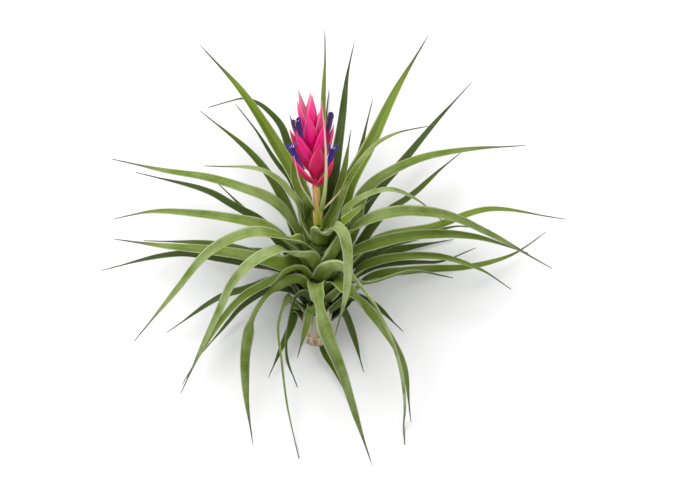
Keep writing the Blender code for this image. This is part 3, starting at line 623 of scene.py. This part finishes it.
stem_points = []
for k in range(STEM_RINGS):
    share = k / (STEM_RINGS - 1)
    size = float(np.interp(share, *zip(*STEM_STOPS))) * MM
    for m in range(STEM_SIDES):
        turn = 2 * math.pi * m / STEM_SIDES
        scar = abs(math.sin(share * SCAR_RINGS + SCAR_TURNS * turn)) ** SCAR_POWER
        scar += KNURL_SHARE * math.sin(KNURL_TURNS * turn + share * KNURL_RINGS)
        reach = size - SCAR_LIFT * (1 - scar)
        stem_points.append(STEM_FOOT + STEM_WAY * (share * STEM_TOP) + round_stem(turn) * reach)
stem_faces = []
for k in range(STEM_RINGS - 1):
    low, high = k * STEM_SIDES, (k + 1) * STEM_SIDES
    for m in range(STEM_SIDES):
        n = (m + 1) % STEM_SIDES
        stem_faces.append((low + n, low + m, high + m, high + n))
stem_faces.append(tuple(range(STEM_SIDES)))
stem_faces.append(tuple(high + m for m in reversed(range(STEM_SIDES))))
stem_mesh = bpy.data.meshes.new("stem_core")
stem_mesh.from_pydata([tuple(p) for p in stem_points], [], stem_faces)
height = np.repeat(np.linspace(0, 1, STEM_RINGS), STEM_SIDES).astype(np.float32)
stem_mesh.attributes.new("along", "FLOAT", "POINT").data.foreach_set("value", height)
for poly in stem_mesh.polygons:
    poly.use_smooth = True
stem_obj = bpy.data.objects.new("stem_core", stem_mesh)
bpy.context.scene.collection.objects.link(stem_obj)
stem_mat = bpy.data.materials.new("stem_bark")
stem_mat.use_nodes = True
tree = stem_mat.node_tree
shader = tree.nodes["Principled BSDF"]
spot = tree.nodes.new("ShaderNodeTexCoord")
grain = tree.nodes.new("ShaderNodeTexNoise")
grain.inputs["Scale"].default_value = GRAIN_SCALE
grain.inputs["Detail"].default_value = GRAIN_DETAIL
tree.links.new(spot.outputs["Object"], grain.inputs["Vector"])
along = value_node(tree, "along")
bark = blend_color(tree, ramp(tree, along, *BARK_OLIVE_ZONE), BARK_BROWN, BARK_OLIVE)
# Green upper stem with painted shade of the heart.
bark = tint(tree, bark, along, BARK_GREEN_AND_SHADE_LAYER)
bark = tint(tree, bark, grain.outputs["Fac"], BARK_GRAIN_LAYER)
finish_skin(tree, shader, bark, STEM_FINISH)
add_bump(tree, shader, grain.outputs["Fac"], *STEM_BUMP)
stem_mesh.materials.append(stem_mat)
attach(stem_obj, "root")
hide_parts("stem")

# Dry sheath: the papery bases of dead leaves round the foot of the stem, pale and torn.
# Each is a thin curled scale that clasps the stem, longer on the upper side.
# Each row: how far up the stem it starts, its number of scales and their length, in millimetres.
SHEATH_ROWS = ((0.8, 9, 7.5), (2.6, 9, 9.0), (4.6, 8, 9.5))
SHEATH_FRONT_EXTRA = 5.0
SHEATH_TURN_CHANCE = 0.12
SHEATH_LENGTH_CHANCE = 1.2
SHEATH_SEAT = 4.2
SHEATH_ROW_LIFT = 0.28
SHEATH_BULGE = 0.5
SHEATH_BULGE_RUN = 1.6
SHEATH_FLARE = (0.1, 0.7)
SHEATH_FLARE_LIFT = 1.4
SHEATH_STATIONS = 12
SHEATH_SECTION = 7
SHEATH_WIDTH = 3.6
SHEATH_TAPER = ((0, 0.9), (0.3, 1.05), (0.8, 0.6), (1, 0.12))
SHEATH_RAGGED = 0.10
SHEATH_RAGGED_WAVES = 9
SHEATH_CORE = 0.00016
SHEATH_EDGE = 0.00010
SHEATH_CURL = 0.20
SHEATH_SEED = 21
SHEATH_LINES = 46.0
SHEATH_DOTS = 1500.0
PAPER_PALE = (0.68, 0.63, 0.53)
PAPER_TAN = (0.46, 0.38, 0.27)
PAPER_TAN_LINES = (0.35, 0.7)
PAPER_WHITE_LAYER = ((0.5, 0.75), 1.0, (0.78, 0.76, 0.70))
PAPER_FOOT_LAYER = ((0.25, 0.0), 1.0, (0.45, 0.27, 0.13))
SHEATH_FINISH = {"Roughness": 0.7}
SHEATH_BUMP = (0.7, 0.0002)


def square_to(course, away):
    """Directions along a course, and across it towards the side that looks back from away."""
    tangent = unit(np.gradient(course, axis=0))
    face = -np.array(away)[None, :]
    return tangent, unit(face - (face * tangent).sum(1, keepdims=True) * tangent)


def joined(pieces, name, mat):
    """The pieces as one object with one material."""
    with bpy.context.temp_override(active_object=pieces[0], selected_editable_objects=pieces):
        bpy.ops.object.join()
    pieces[0].name = name
    pieces[0].data.materials.append(mat)
    return pieces[0]


sheath_mat, tree, shader, group = blade_material("sheath_paper", SHEATH_LINES, SHEATH_DOTS)
line_value = group.outputs["Line value"]
paper = blend_color(tree, ramp(tree, line_value, *PAPER_TAN_LINES), PAPER_PALE, PAPER_TAN)
paper = tint(tree, paper, group.outputs["Patch value"], PAPER_WHITE_LAYER)
paper = tint(tree, paper, value_node(tree, "along"), PAPER_FOOT_LAYER)
finish_skin(tree, shader, paper, SHEATH_FINISH)
add_bump(tree, shader, line_value, *SHEATH_BUMP)
chance = np.random.default_rng(SHEATH_SEED)
shares = np.linspace(0, 1, SHEATH_STATIONS)
scales = []
for row, (foot, count, length) in enumerate(SHEATH_ROWS):
    for m in range(count):
        turn = 2 * math.pi * (m + 0.5 * row) / count
        turn += chance.uniform(-SHEATH_TURN_CHANCE, SHEATH_TURN_CHANCE)
        out = round_stem(turn)
        reach = length + SHEATH_FRONT_EXTRA * max(0.0, math.sin(turn))
        reach += chance.uniform(-SHEATH_LENGTH_CHANCE, SHEATH_LENGTH_CHANCE)
        base = SHEATH_SEAT + SHEATH_ROW_LIFT * row
        flare = chance.uniform(*SHEATH_FLARE)
        course = []
        for t in shares:
            lift = base + SHEATH_BULGE * math.sin(t * SHEATH_BULGE_RUN) + flare * t * t * SHEATH_FLARE_LIFT
            course.append(tuple(STEM_FOOT + STEM_WAY * ((foot + reach * t) * MM) + out * (lift * MM)))
        course = np.array(course)
        tangent, face = square_to(course, out)
        width = SHEATH_WIDTH * MM * np.interp(shares, *zip(*SHEATH_TAPER))
        ragged = np.sin(np.linspace(0, SHEATH_RAGGED_WAVES, SHEATH_STATIONS) + m)
        width = width * (1 + SHEATH_RAGGED * ragged)
        scales.append(sheet_mesh("scale", course, np.cross(tangent, face), face, width,
                                 SHEATH_CORE, SHEATH_EDGE, np.full(SHEATH_STATIONS, SHEATH_CURL),
                                 SHEATH_SECTION, {}))
sheath = joined(scales, "sheath_scales", sheath_mat)
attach(sheath, "root")
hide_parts("dry_sheath")

# Stalk: the peach and yellow-green flower stalk, clasped by three thin sheaths, with three narrow
# pale leaves, fine tipped, that grow from it and cross in front of the bloom.
STALK_FOOT = STEM_FOOT + STEM_WAY * 0.0475
SPIKE_FOOT = Vector((-0.0075, 0.02142, 0.04163))
STALK_SIZE = 0.00145
ROD_STATIONS = 26
ROD_REACH = 1.06
ROD_SECTION = 9
ROD_WIDTH = 1.9
ROD_EDGE = 0.5
# Points of each blade: right, up the plant and out of the stem's plane, in millimetres, where the
# stem's foot is at FOOT_UP and FOOT_HIGH and the plane rises by the stem's lean in degrees.
STALK_BLADES = (
    ((0.5, 17.5, 0.0), (1.9, 24.0, 6.5), (2.2, 33.0, 11.0), (1.6, 43.0, 12.4), (0.5, 53.0, 12.0)),
    ((-0.3, 18.0, 0.0), (-3.4, 22.0, 3.2), (-7.4, 28.0, 7.5), (-9.8, 37.0, 10.6)),
    ((0.2, 18.0, 0.0), (3.4, 21.0, -2.5), (8.2, 26.5, -5.2), (12.4, 34.0, -7.0)),
)
FOOT_UP = 30.6
FOOT_HIGH = 11.0
STEM_LEAN = 28.0
STALK_SHIFT = Vector((-0.0063, -0.00558, 0.0))
STALK_BLADE_STATIONS = 40
STALK_BLADE_WIDTHS = ((0, 1.7), (0.12, 1.8), (0.35, 1.3), (0.8, 0.65), (1, 0.14))
STALK_BLADE_CORE = 0.00055
STALK_BLADE_EDGE = 0.0002
STALK_BLADE_CURL = 0.16
# Sheaths that clasp the stalk: degrees round it, start and end as shares of it, and greenness.
STALK_WRAPS = ((150.0, -0.02, 0.50, 0.5), (25.0, 0.05, 0.72, 1.0), (95.0, 0.16, 0.98, 0.75))
WRAP_STATIONS = 20
WRAP_SEAT = 1.02
WRAP_FLARE = 0.30
WRAP_WIDTHS = ((0, 1.9), (0.5, 1.7), (0.8, 1.1), (1, 0.12))
WRAP_CORE = 0.0003
WRAP_EDGE = 0.00014
WRAP_CURL = 0.30
STALK_LINES = 20.0
STALK_DOTS = 1800.0
# Fades: the zone and the two colours at its ends.
ROD_LEFT = ((0.15, 0.80), (0.20, 0.31, 0.02), (0.70, 0.33, 0.09))
ROD_RIGHT = ((0.3, 0.95), (0.20, 0.32, 0.02), (0.58, 0.46, 0.14))
ROD_SIDES = (-0.2, 0.4)
STALK_BLADE_FADE = ((0.0, 0.45), (0.24, 0.34, 0.04), (0.62, 0.62, 0.36))
STALK_BLADE_TIP_LAYER = ((0.45, 0.8), 1.0, (0.80, 0.40, 0.34))
WRAP_ORANGE = (0.62, 0.26, 0.05)
WRAP_GREEN = (0.20, 0.31, 0.02)
WRAP_TIP_LAYER = ((0.35, 0.85), 1.0, (0.70, 0.34, 0.14))
WRAP_MARK = (0.0, 0.3)
STALK_STREAK_LAYER = ((0.50, 0.60), 0.35, (0.70, 0.62, 0.30))
STALK_FINISH = {"Roughness": 0.5}


def fade(tree, value, zone, low, high):
    return blend_color(tree, ramp(tree, value, *zone), low, high)


stalk_mat, tree, shader, group = blade_material("stalk_skin", STALK_LINES, STALK_DOTS)
along = value_node(tree, "along")
rod_left, rod_right = fade(tree, along, *ROD_LEFT), fade(tree, along, *ROD_RIGHT)
rod_skin = fade(tree, value_node(tree, "across"), ROD_SIDES, rod_left, rod_right)
pale = tint(tree, fade(tree, along, *STALK_BLADE_FADE), along, STALK_BLADE_TIP_LAYER)
skin = blend_color(tree, value_node(tree, "rod"), pale, rod_skin)
wrap_green = value_node(tree, "lime")
wrap_skin = tint(tree, blend_color(tree, wrap_green, WRAP_ORANGE, WRAP_GREEN), along, WRAP_TIP_LAYER)
skin = fade(tree, wrap_green, WRAP_MARK, skin, wrap_skin)
skin = tint(tree, skin, group.outputs["Line value"], STALK_STREAK_LAYER)
finish_skin(tree, shader, skin, STALK_FINISH)
course = np.array([tuple(STALK_FOOT.lerp(SPIKE_FOOT, t)) for t in np.linspace(0, ROD_REACH, ROD_STATIONS)])
tangent, wide = square_to(course, -side_way)
rod_size = STALK_SIZE * ROD_WIDTH
parts = [sheet_mesh("rod", course, wide, np.cross(tangent, wide), np.full(ROD_STATIONS, rod_size),
                    rod_size, STALK_SIZE * ROD_EDGE, np.zeros(ROD_STATIONS), ROD_SECTION,
                    {"rod": 1.0, "lime": 0.0})]
rise = math.tan(math.radians(STEM_LEAN))
for marks in STALK_BLADES:
    marks = [Vector((x, y, FOOT_HIGH + (y + FOOT_UP) * rise + lift)) * MM + STALK_SHIFT
             for x, y, lift in marks]
    course = smooth_along([tuple(p) for p in marks], STALK_BLADE_STATIONS)
    away = marks[-1] - marks[0]
    tangent, face = square_to(course, (away - STEM_WAY * away.dot(STEM_WAY)).normalized())
    width = MM * np.interp(np.linspace(0, 1, STALK_BLADE_STATIONS), *zip(*STALK_BLADE_WIDTHS))
    parts.append(sheet_mesh("stalk_blade", course, np.cross(tangent, face), face, width,
                            STALK_BLADE_CORE, STALK_BLADE_EDGE,
                            np.full(STALK_BLADE_STATIONS, STALK_BLADE_CURL), ROD_SECTION,
                            {"rod": 0.0, "lime": 0.0}))
for turn, low, high, green_share in STALK_WRAPS:
    out = round_stem(math.radians(turn))
    course = []
    for t in np.linspace(0, 1, WRAP_STATIONS):
        lift = STALK_SIZE * (WRAP_SEAT + WRAP_FLARE * t * t)
        course.append(tuple(STALK_FOOT.lerp(SPIKE_FOOT, low + (high - low) * t) + out * lift))
    course = np.array(course)
    tangent, face = square_to(course, out)
    width = np.interp(np.linspace(0, 1, WRAP_STATIONS), *zip(*WRAP_WIDTHS)) * STALK_SIZE
    parts.append(sheet_mesh("wrap", course, np.cross(tangent, face), face, width, WRAP_CORE, WRAP_EDGE,
                            np.full(WRAP_STATIONS, WRAP_CURL), ROD_SECTION,
                            {"rod": 0.0, "lime": green_share}))
stalk = joined(parts, "stalk_and_blades", stalk_mat)
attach(stalk, "root")
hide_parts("stalk")

# Spike: boat-shaped pink bracts in a spiral round one core, thin and waxy, paler inside and
# at their upper tips, deeper red low down. Each is grown into the core by its foot.
SPIKE_TIP = Vector((-0.0097, 0.04092, 0.05199))
SPIKE_SIDE = Vector((0.99370, 0.11211, 0.0))
SPIKE_FRONT = Vector((0.05237, -0.46421, 0.88417))
SPIKE_WAY = (SPIKE_TIP - SPIKE_FOOT).normalized()
BRACT_COUNT = 18
# The spiral: the first bract's turn, the turn from each to the next, and the angle from the axis
# at the lowest and how much it closes up to the highest, in degrees; what is left of it at a tip.
BRACT_FIRST_TURN = 25.0
BRACT_TURN = 137.5
BRACT_SPREAD = 50.0
BRACT_CLOSING = 37.0
BRACT_TIP_SPREAD = 0.35
BRACT_START = 0.04
BRACT_RUN = 0.94
BRACT_SEAT = 0.000675
BRACT_LENGTHS = ((0.0, 13.5), (0.06, 14.0), (0.15, 18.0), (0.4, 18.5), (1.0, 17.0))
BRACT_WIDTH = 7.0
BRACT_NARROWING = 2.2
BRACT_PROFILE = ((0.0, 0.5), (0.18, 0.88), (0.38, 1.04), (0.62, 0.84), (0.85, 0.42), (1.0, 0.02))
BRACT_STATIONS = 26
BRACT_SECTION = 11
BRACT_RIPPLE = 0.03
BRACT_RIPPLE_WAVES = 8
BRACT_TIP = 0.0002
BRACT_POINT = ((0.0002,), (0.0008,))
BRACT_CORE = 0.0006
BRACT_EDGE = 0.00022
BRACT_CURL = 0.26
BRACT_SEED = 5
BRACT_HIGH_GAIN = 1.2
BRACT_HIGH_CHANCE = 0.08
DUSKY = (9,)
AXIS_STATIONS = 12
AXIS_WIDTHS = (0.0028, 0.0018)
AXIS_THICK = 0.0026
AXIS_EDGE = 0.0008
AXIS_SECTION = 9
AXIS_HIGH = 0.2
BRACT_LINES = 26.0
BRACT_DOTS = 2200.0
PINK_FADE = ((0.0, 0.45), (0.62, 0.0, 0.05), (0.88, 0.0, 0.22))
PINK_TOP = (0.55, 0.95)
PINK_TIP_LAYER = ((0.45, 0.95), 0.55, (0.90, 0.14, 0.34))
PINK_INNER = (0.88, 0.34, 0.47)
PINK_INNER_SHARES = (0.16, 0.60)
PINK_RIM_LAYER = ((0.84, 0.98), 1.0, (0.90, 0.30, 0.45))
PINK_RIM_SHARES = (0.12, 0.45)
PINK_FOOT = (0.62, 0.28, 0.10)
PINK_FOOT_ZONE = (0.12, 0.0)
PINK_FOOT_SHARE = 0.7
PINK_STREAK_LAYER = ((0.5, 0.72), 0.32, (0.52, 0.0, 0.12))
DUSK_LAYER = ((0.35, 0.80), 1.0, (0.060, 0.004, 0.095))
BRACT_FINISH = {"Roughness": 0.40, "Coat Weight": 0.08, "Coat Roughness": 0.3}
BRACT_BUMP = (0.35, 0.00012)


def spike_out(degrees):
    return SPIKE_SIDE * math.cos(math.radians(degrees)) + SPIKE_FRONT * math.sin(math.radians(degrees))


def arched(foot, out, spread_start, spread_end, length, count):
    """Course that leaves the spike at one angle from its axis and ends at another, in degrees."""
    points = [foot.copy()]
    for k in range(count - 1):
        lean = math.radians(spread_start + (spread_end - spread_start) * (k + 0.5) / (count - 1))
        step = SPIKE_WAY * math.cos(lean) + out * math.sin(lean)
        points.append(points[-1] + step * (length / (count - 1)))
    return np.array([tuple(p) for p in points])


def bract_rule(k):
    """Course, directions along it and to its inner face, and widest width of one bract, in metres."""
    share = k / (BRACT_COUNT - 1)
    out = spike_out(BRACT_FIRST_TURN + BRACT_TURN * k)
    spread = BRACT_SPREAD - BRACT_CLOSING * share
    foot = SPIKE_FOOT.lerp(SPIKE_TIP, BRACT_START + BRACT_RUN * share) + out * BRACT_SEAT
    length = np.interp(share, *zip(*BRACT_LENGTHS)) * MM
    course = arched(foot, out, spread, spread * BRACT_TIP_SPREAD, length, BRACT_STATIONS)
    tangent, face = square_to(course, out)
    return course, tangent, face, (BRACT_WIDTH - BRACT_NARROWING * share) * MM


bract_mat, tree, shader, group = blade_material("bract_skin", BRACT_LINES, BRACT_DOTS)
along = value_node(tree, "along")
high = value_node(tree, "high")
from_keel = combine(tree, "ABSOLUTE", value_node(tree, "across"), 0.0)
top = ramp(tree, high, *PINK_TOP)
pink = tint(tree, fade(tree, high, *PINK_FADE), along, PINK_TIP_LAYER, top)
inner_share = combine(tree, "ADD", PINK_INNER_SHARES[0], times(tree, top, PINK_INNER_SHARES[1]))
pink = blend_color(tree, times(tree, value_node(tree, "inner"), inner_share), pink, PINK_INNER)
rim_share = combine(tree, "ADD", PINK_RIM_SHARES[0], times(tree, top, PINK_RIM_SHARES[1]))
pink = tint(tree, pink, from_keel, PINK_RIM_LAYER, rim_share)
foot_share = times(tree, ramp(tree, along, *PINK_FOOT_ZONE), combine(tree, "SUBTRACT", PINK_FOOT_SHARE, top))
pink = blend_color(tree, combine(tree, "MAXIMUM", foot_share, 0.0), pink, PINK_FOOT)
pink = tint(tree, pink, group.outputs["Line value"], PINK_STREAK_LAYER)
pink = tint(tree, pink, along, DUSK_LAYER, value_node(tree, "dusk"))
finish_skin(tree, shader, pink, BRACT_FINISH)
add_bump(tree, shader, group.outputs["Line value"], *BRACT_BUMP)
chance = np.random.default_rng(BRACT_SEED)
shares = np.linspace(0, 1, BRACT_STATIONS)
bracts = []
for k in range(BRACT_COUNT):
    course, tangent, face, width = bract_rule(k)
    full = np.interp(shares, *zip(*BRACT_PROFILE)) * width
    ripple = 1 + BRACT_RIPPLE * np.sin(np.linspace(0, BRACT_RIPPLE_WAVES, BRACT_STATIONS) + k)
    full = np.maximum(full * ripple, BRACT_TIP)
    course[-2:] += unit(course[-1] - course[-2]) * np.array(BRACT_POINT)
    height = k / (BRACT_COUNT - 1) * BRACT_HIGH_GAIN + chance.uniform(-BRACT_HIGH_CHANCE, BRACT_HIGH_CHANCE)
    tones = {"high": min(1.0, height), "dusk": 1.0 if k in DUSKY else 0.0}
    bracts.append(sheet_mesh("bract", course, np.cross(tangent, face), face, full, BRACT_CORE, BRACT_EDGE,
                             np.full(BRACT_STATIONS, BRACT_CURL), BRACT_SECTION, tones))
course = np.array([tuple(SPIKE_FOOT.lerp(SPIKE_TIP, t)) for t in np.linspace(0, 1, AXIS_STATIONS)])
wide = np.tile(np.array(SPIKE_SIDE), (AXIS_STATIONS, 1))
face = np.tile(np.array(SPIKE_FRONT), (AXIS_STATIONS, 1))
bracts.append(sheet_mesh("core", course, wide, face, np.linspace(*AXIS_WIDTHS, AXIS_STATIONS), AXIS_THICK,
                         AXIS_EDGE, np.zeros(AXIS_STATIONS), AXIS_SECTION, {"high": AXIS_HIGH, "dusk": 0.0}))
spike = joined(bracts, "spike_bracts", bract_mat)
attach(spike, "root")
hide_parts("spike")

# Flowers: violet petals rolled into a tube that lies in a bract's hollow and opens at its mouth,
# thin and matt, with pale stamens that show in the open ones.
# Each row: bract, distance in from its middle, start share, length past its tip, how far open.
FLOWER_PLACES = {
    "flower_right": (0, 1.3, 0.5, 2.4, 1.0), "flower_left": (1, 1.3, 0.5, 2.4, 1.0),
    "flower_front": (6, 1.8, 0.6, 2.0, 0.6), "flower_top": (5, 1.8, 0.6, 2.0, 0.15),
}
FLOWER_ROLLED = {"flower_top": 1.0, "flower_front": 0.7}
FLOWER_MARKS = 12
PETAL_TURNS = (90.0, 210.0, 330.0)
PETAL_STATIONS = 30
PETAL_SECTION = 9
PETAL_TUBE = 0.00038
PETAL_TUBE_GROWTH = 0.00003
# Petal past the tube's mouth: how far ahead and how far out, in millimetres, when fully open.
PETAL_FLARE = ((0.4, 0.7), (1.4, 1.1), (2.2, 1.8), (2.7, 2.5))
PETAL_MOUTH = 0.55
PETAL_STRETCH = 1.3
PETAL_STRETCH_LOSS = 0.3
PETAL_WIDTHS = ((0, 1.0), (0.5, 1.5), (0.72, 2.0), (0.88, 2.5), (0.96, 1.7), (1, 0.5))
PETAL_CORE = 0.00022
PETAL_EDGE = 0.00012
PETAL_CURL = (0.34, 0.10)
STAMENS = 5
STAMEN_OPEN = 0.5
STAMEN_FIRST_TURN = 20.0
STAMEN_AHEAD = 0.0022
STAMEN_OUT = 0.0008
STAMEN_FOOT_OUT = 0.0001
STAMEN_START = -0.4
STAMEN_WIDTHS = (0.2, 0.2, 0.2, 0.2, 0.22, 0.42, 0.45, 0.2)
STAMEN_CORE = 0.0003
STAMEN_EDGE = 0.00012
STAMEN_SECTION = 5
PETAL_LINES = 24.0
PETAL_DOTS = 2400.0
VIOLET_FADE = ((0.35, 0.75), (0.16, 0.04, 0.30), (0.026, 0.001, 0.30))
VIOLET_TIP_LAYER = ((0.86, 1.0), 1.0, (0.014, 0.001, 0.12))
VIOLET_STREAK_LAYER = ((0.45, 0.7), 0.4, (0.05, 0.004, 0.36))
ROLLED_FADE = ((0.25, 0.75), (0.34, 0.0, 0.15), (0.022, 0.001, 0.085))
STAMEN_PALE = (0.86, 0.80, 0.66)
PETAL_FINISH = {"Roughness": 0.45, "Sheen Weight": 0.10}
petal_mat, tree, shader, group = blade_material("petal_skin", PETAL_LINES, PETAL_DOTS)
along = value_node(tree, "along")
violet = tint(tree, fade(tree, along, *VIOLET_FADE), along, VIOLET_TIP_LAYER)
violet = tint(tree, violet, group.outputs["Line value"], VIOLET_STREAK_LAYER)
violet = blend_color(tree, value_node(tree, "rolled"), violet, fade(tree, along, *ROLLED_FADE))
violet = blend_color(tree, value_node(tree, "stamen"), violet, STAMEN_PALE)
finish_skin(tree, shader, violet, PETAL_FINISH)
for node, (bract, inset, start, past, open_share) in FLOWER_PLACES.items():
    course, _, face, _ = bract_rule(bract)
    line = course + face * (inset * MM)
    beyond = line[-1] + unit(line[-1] - line[-2]) * (past * MM)
    line = smooth_along(np.concatenate((line[int(start * BRACT_STATIONS):], [beyond])), FLOWER_MARKS)
    mouth = Vector(line[-1])
    ahead = Vector(unit(line[-1] - line[-2]))
    side = ahead.cross(SPIKE_WAY).normalized()
    up = side.cross(ahead)
    stretch = (PETAL_STRETCH - PETAL_STRETCH_LOSS * open_share) * MM
    petals = []
    for petal in PETAL_TURNS:
        edge_way = side * math.cos(math.radians(petal)) + up * math.sin(math.radians(petal))
        rows = [Vector(p) + edge_way * (PETAL_TUBE + PETAL_TUBE_GROWTH * k) for k, p in enumerate(line[:-1])]
        for rise, reach in PETAL_FLARE:
            out = (PETAL_MOUTH + (reach - PETAL_MOUTH) * open_share) * MM
            rows.append(mouth + ahead * (rise * stretch) + edge_way * out)
        petal_line = smooth_along([tuple(p) for p in rows], PETAL_STATIONS)
        tangent, facing = square_to(petal_line, edge_way)
        width = MM * np.interp(np.linspace(0, 1, PETAL_STATIONS), *zip(*PETAL_WIDTHS))
        petals.append(sheet_mesh("petal", petal_line, np.cross(tangent, facing), facing, width,
                                 PETAL_CORE, PETAL_EDGE, np.linspace(*PETAL_CURL, PETAL_STATIONS),
                                 PETAL_SECTION, {"stamen": 0.0, "rolled": FLOWER_ROLLED.get(node, 0.0)}))
    for k in range(STAMENS if open_share > STAMEN_OPEN else 0):
        turn = math.radians(360.0 / STAMENS * k + STAMEN_FIRST_TURN)
        edge_way = side * math.cos(turn) + up * math.sin(turn)
        tip = mouth + ahead * STAMEN_AHEAD + edge_way * STAMEN_OUT
        stations = np.linspace(STAMEN_START, 1, len(STAMEN_WIDTHS))
        thread = np.array([tuple(mouth.lerp(tip, t) + edge_way * STAMEN_FOOT_OUT) for t in stations])
        tangent = unit(np.gradient(thread, axis=0))
        tangent, facing = square_to(thread, -side.cross(Vector(tangent[0])))
        petals.append(sheet_mesh("stamen", thread, np.cross(tangent, facing), facing,
                                 MM * np.array(STAMEN_WIDTHS), STAMEN_CORE, STAMEN_EDGE,
                                 np.zeros(len(STAMEN_WIDTHS)), STAMEN_SECTION,
                                 {"stamen": 1.0, "rolled": 0.0}))
    flower = joined(petals, "petals_" + node[7:], petal_mat)
    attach(flower, "root")
    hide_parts(node)
